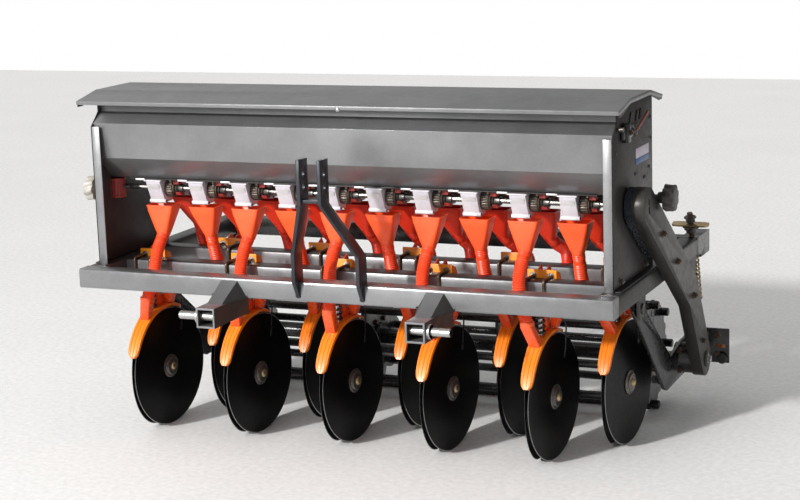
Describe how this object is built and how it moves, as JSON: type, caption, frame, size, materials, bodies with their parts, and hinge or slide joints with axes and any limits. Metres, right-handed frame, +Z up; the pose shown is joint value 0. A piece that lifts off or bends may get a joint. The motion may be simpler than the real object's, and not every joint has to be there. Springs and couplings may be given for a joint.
{
  "type": "tractor-mounted seed drill",
  "caption": "Tractor-mounted seed drill with a lidded hopper, hoses to toed-in double-disc openers, a three-point hitch mast and a driven cage press roller behind.",
  "frame": {"origin": "centre of the machine's footprint box, on the ground", "axes": "+X to the right seen from the tractor, +Y towards the roller at the back, +Z up"},
  "size_m": [1.732, 1.18, 1.004],
  "materials": {
    "graphite_paint": "hammered metallic grey paint",
    "black_paint": "satin black paint",
    "orange_paint": "glossy orange paint",
    "orange_plastic": "moulded orange-red plastic",
    "disc_steel": "near-black coated steel",
    "cast_alloy": "die-cast light grey alloy",
    "zinc": "bright zinc",
    "yellow_zinc": "yellow-passivated zinc"
  },
  "bodies": {
    "frame": {"front_beam": "graphite_paint", "rear_beam": "graphite_paint", "side_beam_left": "graphite_paint", "side_beam_right": "graphite_paint", "toolbar_front": "graphite_paint", "toolbar_rear": "graphite_paint", "hitch_mast": "graphite_paint", "hopper": "graphite_paint", "end_plate_left": "graphite_paint", "end_plate_right": "graphite_paint", "meter_bank": "cast_alloy", "depth_screw_left": "yellow_zinc", "depth_screw_right": "yellow_zinc", "opener_01": "orange_paint", "opener_02": "orange_paint", "opener_03": "orange_paint", "opener_04": "orange_paint", "opener_05": "orange_paint", "opener_06": "orange_paint", "opener_07": "orange_paint", "opener_08": "orange_paint", "opener_09": "orange_paint", "opener_10": "orange_paint", "delivery_tubes_01": "orange_plastic", "delivery_tubes_02": "orange_plastic", "delivery_tubes_03": "orange_plastic", "delivery_tubes_04": "orange_plastic", "delivery_tubes_05": "orange_plastic", "delivery_tubes_06": "orange_plastic", "delivery_tubes_07": "orange_plastic", "delivery_tubes_08": "orange_plastic", "delivery_tubes_09": "orange_plastic", "delivery_tubes_10": "orange_plastic"},
    "lid": {"hopper_lid": "graphite_paint"},
    "feed_shaft": {"metering_shaft": "zinc"},
    "roller_carrier": {"roller_arm_left": "black_paint", "roller_arm_right": "black_paint", "chain_case": "graphite_paint"},
    "roller": {"press_roller": "black_paint"},
    "disc_01_left": {"disc_01_left": "disc_steel"},
    "disc_01_right": {"disc_01_right": "disc_steel"},
    "disc_02_left": {"disc_02_left": "disc_steel"},
    "disc_02_right": {"disc_02_right": "disc_steel"},
    "disc_03_left": {"disc_03_left": "disc_steel"},
    "disc_03_right": {"disc_03_right": "disc_steel"},
    "disc_04_left": {"disc_04_left": "disc_steel"},
    "disc_04_right": {"disc_04_right": "disc_steel"},
    "disc_05_left": {"disc_05_left": "disc_steel"},
    "disc_05_right": {"disc_05_right": "disc_steel"},
    "disc_06_left": {"disc_06_left": "disc_steel"},
    "disc_06_right": {"disc_06_right": "disc_steel"},
    "disc_07_left": {"disc_07_left": "disc_steel"},
    "disc_07_right": {"disc_07_right": "disc_steel"},
    "disc_08_left": {"disc_08_left": "disc_steel"},
    "disc_08_right": {"disc_08_right": "disc_steel"},
    "disc_09_left": {"disc_09_left": "disc_steel"},
    "disc_09_right": {"disc_09_right": "disc_steel"},
    "disc_10_left": {"disc_10_left": "disc_steel"},
    "disc_10_right": {"disc_10_right": "disc_steel"}
  },
  "joints": [
    {"name": "lid_hinge", "type": "hinge", "parent": "frame", "child": "lid", "pos_m": [0, 0.0165, 0.9565], "axis": [-1, 0, 0], "range_deg": [0, 95]},
    {"name": "roller_lift", "type": "hinge", "parent": "frame", "child": "roller_carrier", "pos_m": [0, -0.115, 0.415], "axis": [1, 0, 0], "range_deg": [-1, 6]},
    {"name": "roller_spin", "type": "hinge", "parent": "roller_carrier", "child": "roller", "pos_m": [0, 0.35, 0.1635], "axis": [1, 0, 0], "continuous": true},
    {"name": "feed_shaft_spin", "type": "hinge", "parent": "frame", "child": "feed_shaft", "pos_m": [0, -0.245, 0.719], "axis": [1, 0, 0], "continuous": true},
    {"name": "disc_01_left_spin", "type": "hinge", "parent": "frame", "child": "disc_01_left", "pos_m": [-0.6955, -0.2, 0.175], "axis": [-0.9959, -0.0906, 0], "continuous": true},
    {"name": "disc_01_right_spin", "type": "hinge", "parent": "frame", "child": "disc_01_right", "pos_m": [-0.6545, -0.2, 0.175], "axis": [0.9959, -0.0906, 0], "continuous": true},
    {"name": "disc_02_left_spin", "type": "hinge", "parent": "frame", "child": "disc_02_left", "pos_m": [-0.5455, 0, 0.175], "axis": [-0.9959, -0.0906, 0], "continuous": true},
    {"name": "disc_02_right_spin", "type": "hinge", "parent": "frame", "child": "disc_02_right", "pos_m": [-0.5045, 0, 0.175], "axis": [0.9959, -0.0906, 0], "continuous": true},
    {"name": "disc_03_left_spin", "type": "hinge", "parent": "frame", "child": "disc_03_left", "pos_m": [-0.3955, -0.2, 0.175], "axis": [-0.9959, -0.0906, 0], "continuous": true},
    {"name": "disc_03_right_spin", "type": "hinge", "parent": "frame", "child": "disc_03_right", "pos_m": [-0.3545, -0.2, 0.175], "axis": [0.9959, -0.0906, 0], "continuous": true},
    {"name": "disc_04_left_spin", "type": "hinge", "parent": "frame", "child": "disc_04_left", "pos_m": [-0.2455, 0, 0.175], "axis": [-0.9959, -0.0906, 0], "continuous": true},
    {"name": "disc_04_right_spin", "type": "hinge", "parent": "frame", "child": "disc_04_right", "pos_m": [-0.2045, 0, 0.175], "axis": [0.9959, -0.0906, 0], "continuous": true},
    {"name": "disc_05_left_spin", "type": "hinge", "parent": "frame", "child": "disc_05_left", "pos_m": [-0.0955, -0.2, 0.175], "axis": [-0.9959, -0.0906, 0], "continuous": true},
    {"name": "disc_05_right_spin", "type": "hinge", "parent": "frame", "child": "disc_05_right", "pos_m": [-0.0545, -0.2, 0.175], "axis": [0.9959, -0.0906, 0], "continuous": true},
    {"name": "disc_06_left_spin", "type": "hinge", "parent": "frame", "child": "disc_06_left", "pos_m": [0.0545, 0, 0.175], "axis": [-0.9959, -0.0906, 0], "continuous": true},
    {"name": "disc_06_right_spin", "type": "hinge", "parent": "frame", "child": "disc_06_right", "pos_m": [0.0955, 0, 0.175], "axis": [0.9959, -0.0906, 0], "continuous": true},
    {"name": "disc_07_left_spin", "type": "hinge", "parent": "frame", "child": "disc_07_left", "pos_m": [0.2045, -0.2, 0.175], "axis": [-0.9959, -0.0906, 0], "continuous": true},
    {"name": "disc_07_right_spin", "type": "hinge", "parent": "frame", "child": "disc_07_right", "pos_m": [0.2455, -0.2, 0.175], "axis": [0.9959, -0.0906, 0], "continuous": true},
    {"name": "disc_08_left_spin", "type": "hinge", "parent": "frame", "child": "disc_08_left", "pos_m": [0.3545, 0, 0.175], "axis": [-0.9959, -0.0906, 0], "continuous": true},
    {"name": "disc_08_right_spin", "type": "hinge", "parent": "frame", "child": "disc_08_right", "pos_m": [0.3955, 0, 0.175], "axis": [0.9959, -0.0906, 0], "continuous": true},
    {"name": "disc_09_left_spin", "type": "hinge", "parent": "frame", "child": "disc_09_left", "pos_m": [0.5045, -0.2, 0.175], "axis": [-0.9959, -0.0906, 0], "continuous": true},
    {"name": "disc_09_right_spin", "type": "hinge", "parent": "frame", "child": "disc_09_right", "pos_m": [0.5455, -0.2, 0.175], "axis": [0.9959, -0.0906, 0], "continuous": true},
    {"name": "disc_10_left_spin", "type": "hinge", "parent": "frame", "child": "disc_10_left", "pos_m": [0.6545, 0, 0.175], "axis": [-0.9959, -0.0906, 0], "continuous": true},
    {"name": "disc_10_right_spin", "type": "hinge", "parent": "frame", "child": "disc_10_right", "pos_m": [0.6955, 0, 0.175], "axis": [0.9959, -0.0906, 0], "continuous": true}
  ],
  "couplings": [
    {"joint": "feed_shaft_spin", "follows": "roller_spin", "ratio": 1}
  ]
}
